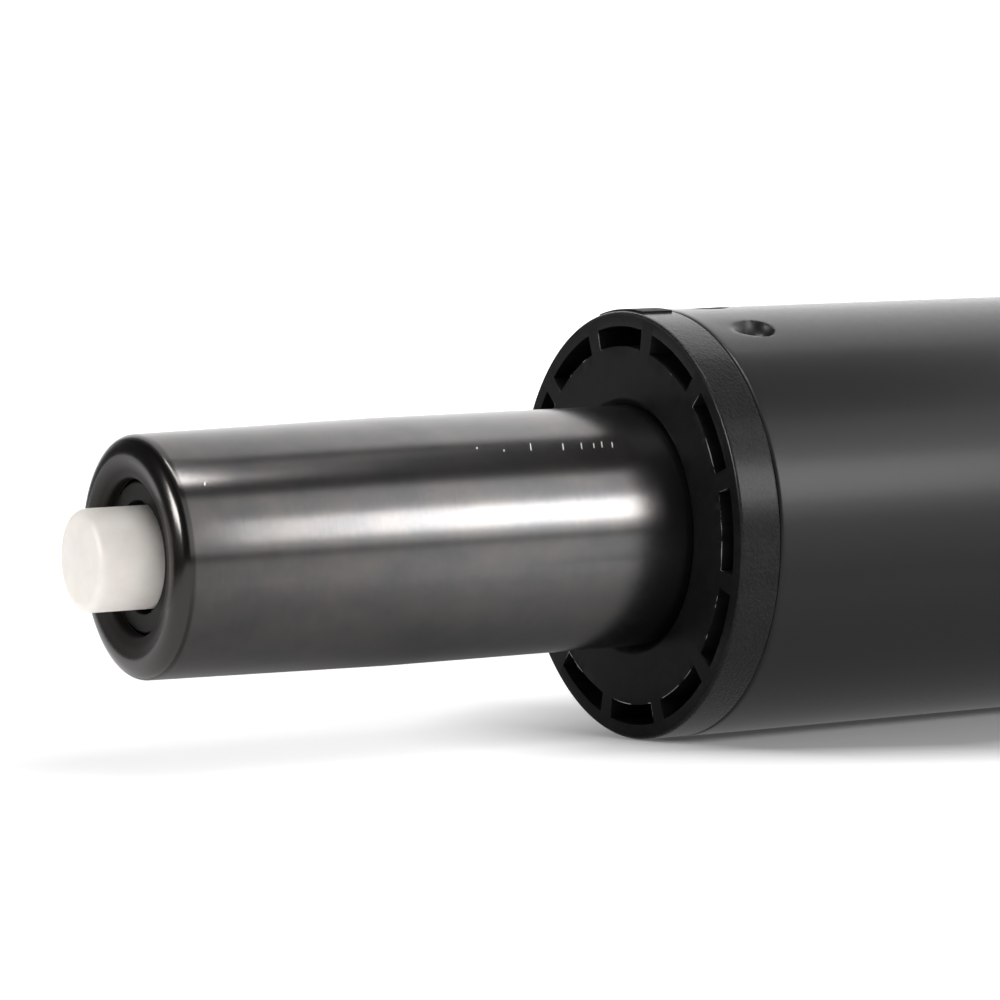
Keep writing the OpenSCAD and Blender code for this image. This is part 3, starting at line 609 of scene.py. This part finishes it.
# Release button: a short white moulded pin with a softly rounded end.
BUTTON_R = 5.7
BUTTON_TOP = 292.54
BUTTON_FOOT = 274.04
button = turned(
    [(0, BUTTON_FOOT), (BUTTON_R, BUTTON_FOOT), (BUTTON_R, BUTTON_TOP), (0, BUTTON_TOP)],
    {1: 0.4, 2: 1.1}, {}, 12)
button_plastic = Finish("moulded_white_plastic", Roughness=0.42, Subsurface_Weight=0.35,
                        Subsurface_Radius=(1.0, 0.8, 0.6), Subsurface_Scale=0.002, IOR=1.45)
bloom = button_plastic.speckle(2.5, detail=3)
button_plastic.give(
    Base_Color=button_plastic.blend(
        bloom.between(0.3, 0.7), (0.84, 0.795, 0.745), (0.89, 0.85, 0.80)),
    Roughness=0.38 + 0.1 * bloom,
    Normal=button_plastic.relief(button_plastic.speckle(0.5, detail=2), 0.01))
button = piece_of(button, "white_button", button_plastic)
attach(button, "release")
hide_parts("release_button")

# Studio: a large white table that the lift lies on in the photograph, and a pale floor under its
# foot. Both are clear from behind, so that the lift is seen from every side. Soft suns light it,
# and three lamps and some dark cards are only seen in what its metal and plastic mirror.
ROOM = 40
TABLE_SIDE = -25.06


def card(name, middle, normal, along, length, width, material):
    """A flat rectangle, in metres, with its length along a way and its front to the normal."""
    sheet = bmesh.new()
    bmesh.ops.create_grid(sheet, x_segments=1, y_segments=1, size=0.5)
    across = normal.cross(along).normalized()
    turn = Matrix((along * length, across * width, normal)).transposed().to_4x4()
    turn.translation = middle
    bmesh.ops.transform(sheet, matrix=turn, verts=sheet.verts)
    mesh = bpy.data.meshes.new(name)
    sheet.to_mesh(mesh)
    sheet.free()
    mesh.materials.append(material)
    made = bpy.data.objects.new(name, mesh)
    bpy.context.scene.collection.objects.link(made)
    return made


def white_paper(name, shade, glow):
    """Matt paper of that shade that glows by itself, and is clear from behind."""
    paper = Finish(name, Base_Color=(shade, shade, shade), Roughness=1.0, Specular_IOR_Level=0.0,
                   Emission_Color=(1, 1, 1), Emission_Strength=glow)
    clear = paper.node("BsdfTransparent", {}, {})
    back = paper.node("NewGeometry", {}, {}, "Backfacing")
    front = Wire(paper, paper.shader.outputs[0])
    both = paper.node("MixShader", {}, {0: back, 1: front, 2: clear})
    paper.join(both, paper.tree.nodes["Material Output"].inputs[0])
    return paper


# Painted shadow: the table's colour and glow are made darker near the column and the bush, where
# the column's side keeps the room's light from it.
table_white = white_paper("table_white", 0.93, 1.0)
away = table_white.dot(table_white.place(), FAR_SIDE)
beside = table_white.height() - BUSH_FACE
near_end = beside.math("MAXIMUM", beside, -20)
shade = (away + near_end).between(55, 2) * beside.between(20, -3)
shade = shade * (away + 30 * beside.between(12, -18)).between(-42, -8)
table_white.give(Emission_Color=0.6 - 0.55 * shade, Base_Color=0.93 - 0.3 * shade)
card("table", UPPER_SIDE * TABLE_SIDE * MM, UPPER_SIDE, TIP_WAY, ROOM, ROOM, table_white.material)
floor_white = white_paper("floor_white", 0.9, 0.56)
floor = card("floor", Vector((0, 0, 0)), TIP_WAY, UPPER_SIDE, ROOM, ROOM, floor_white.material)
floor.visible_diffuse = floor.visible_shadow = False


def side_way(turn):
    """The way out from the axis, so many degrees from the upper side towards the camera."""
    return photo_way(math.cos(math.radians(turn)), -math.sin(math.radians(turn)), 0)


def around(turn, reach, tip):
    """A point out on such a way: its distance from the axis and its height above the bush's face
    are in millimetres."""
    return (side_way(turn) * reach + TIP_WAY * (tip + BUSH_FACE)) * MM


def lamp(name, spot, back, along, width, length, watts):
    """A soft rectangular lamp that shines against a way, its length along another."""
    light = bpy.data.lights.new(name, "AREA")
    light.shape = "RECTANGLE"
    light.size, light.size_y, light.energy = width, length, watts
    made = bpy.data.objects.new(name, light)
    bpy.context.scene.collection.objects.link(made)
    across = along.cross(back).normalized()
    made.matrix_world = Matrix((across, back.cross(across), back)).transposed().to_4x4()
    made.location = spot
    made.visible_camera = made.visible_diffuse = False


# The bright band along the tube, the gleam on its tip and the glint on its rim.
lamp("front_strip", around(71, 250, -137), side_way(71), TIP_WAY, 0.084, 0.17, 0.32)
tip_way = photo_way(0.36, -0.01, 0.93).normalized()
lamp("tip_lamp", tip_way + photo_way(0, 0, 0.286), tip_way, FAR_SIDE, 0.28, 0.6, 12.0)
edge_way = photo_way(0.965, -0.15, -0.18).normalized()
edge_spot = 0.24 * edge_way + photo_way(0, 0, 0.284)
lamp("edge_lamp", edge_spot, edge_way, photo_way(-0.1, -0.8, -0.57), 0.022, 0.13, 0.24)
# Suns: the way that each shines from, its strength and its spread in degrees.
for name, upper, far, tip, strength, spread in (
        ("key_lamp", 0.20, 0.43, 0.88, 0.44, 32), ("far_lamp", 0.17, 0.98, 0.03, 0.6, 28),
        ("near_lamp", 0.55, -0.83, 0.05, 0.42, 34)):
    light = bpy.data.lights.new(name, "SUN")
    light.energy, light.angle = strength * math.pi, math.radians(spread)
    made = bpy.data.objects.new(name, light)
    bpy.context.scene.collection.objects.link(made)
    made.rotation_euler = photo_way(upper, far, tip).to_track_quat("Z", "Y").to_euler()
    made.visible_glossy = False

# Cards that only reflections show: the dark bands beside the tube's bright one, the thin line in
# the upper one, the dark mouth, and a painted shade of the table under the tube, which is in the
# lift's own shade: a glowing card, dark under the tube and brighter away from it.
flag_black = Finish("flag_black", Base_Color=(0.02, 0.02, 0.02), Roughness=1.0,
                    Specular_IOR_Level=0.0).material
# Painted shade: this card's glow is dark under the tube and rises away from it, in place of the
# shaded table.
reflected_table_shade = Finish("reflected_table_shade", Base_Color=(0, 0, 0), Specular_IOR_Level=0.0, Emission_Strength=1.0)
away = reflected_table_shade.dot(reflected_table_shade.place(), FAR_SIDE)
shade_level = 0.2 + 0.3 * reflected_table_shade.height().between(BUSH_FACE + 25, BUSH_FACE + 60)
reflected_table_shade.give(Emission_Color=shade_level + (1.04 - shade_level) * away.between(4, -50) ** 1.3)
pale_grey = Finish("pale_grey", Base_Color=(0.1, 0.1, 0.1), Emission_Color=(0.5, 0.5, 0.5),
                   Emission_Strength=1.0).material
under_spot = photo_way(TABLE_SIDE + 0.03, 0, BUSH_FACE - 270) * MM
for name, spot, back, length, width, shade in (
        ("tip_flag", photo_way(-0.013, -0.1, 0.45), TIP_WAY, 0.024, 0.7, flag_black),
        ("gap_flag", around(15, 260, -345), side_way(15), 0.81, 0.21, flag_black),
        ("gap_line", around(5, 252, -72), side_way(5), 0.055, 0.026, pale_grey),
        ("low_flag", around(96, 250, -150), side_way(96), 1.0, 0.056, flag_black),
        ("under_flag", under_spot, -UPPER_SIDE, 0.66, 0.1, reflected_table_shade.material)):
    along = UPPER_SIDE if name == "tip_flag" else TIP_WAY
    flag = card(name, spot, -back, along, length, width, shade)
    flag.visible_camera = flag.visible_diffuse = False
    flag.visible_shadow = flag.visible_transmission = False

# The room: white to the camera, and plain grey, dark beyond the tip, in what the lift mirrors.
world = bpy.data.worlds.new("studio")
bpy.context.scene.world = world
world.use_nodes = True
world.node_tree.nodes.clear()
room = Nodes(world.node_tree)
way = room.node("TexCoord", {}, {}, "Generated")
tip_side = room.dot(way, TIP_WAY)
upper_side = room.dot(way, UPPER_SIDE)
camera_ray, glossy_ray, clear_ray = (
    room.node("LightPath", {}, {}, kind)
    for kind in ("Is Camera Ray", "Is Glossy Ray", "Is Transmission Ray"))
soft = 0.02 + 0.3 * upper_side.between(0, 1) ** 2
gloss = 0.46 + 0.22 * tip_side.between(-0.64, -0.5) - 0.58 * tip_side.between(0.0, 0.25)
other_ray = 1 - camera_ray - clear_ray - glossy_ray
bright = camera_ray + clear_ray + glossy_ray * gloss + other_ray * soft
background = room.node("Background", {}, {"Strength": bright})
room.join(background, room.tree.nodes.new("ShaderNodeOutputWorld").inputs[0])

bpy.context.scene.view_settings.view_transform = "Standard"
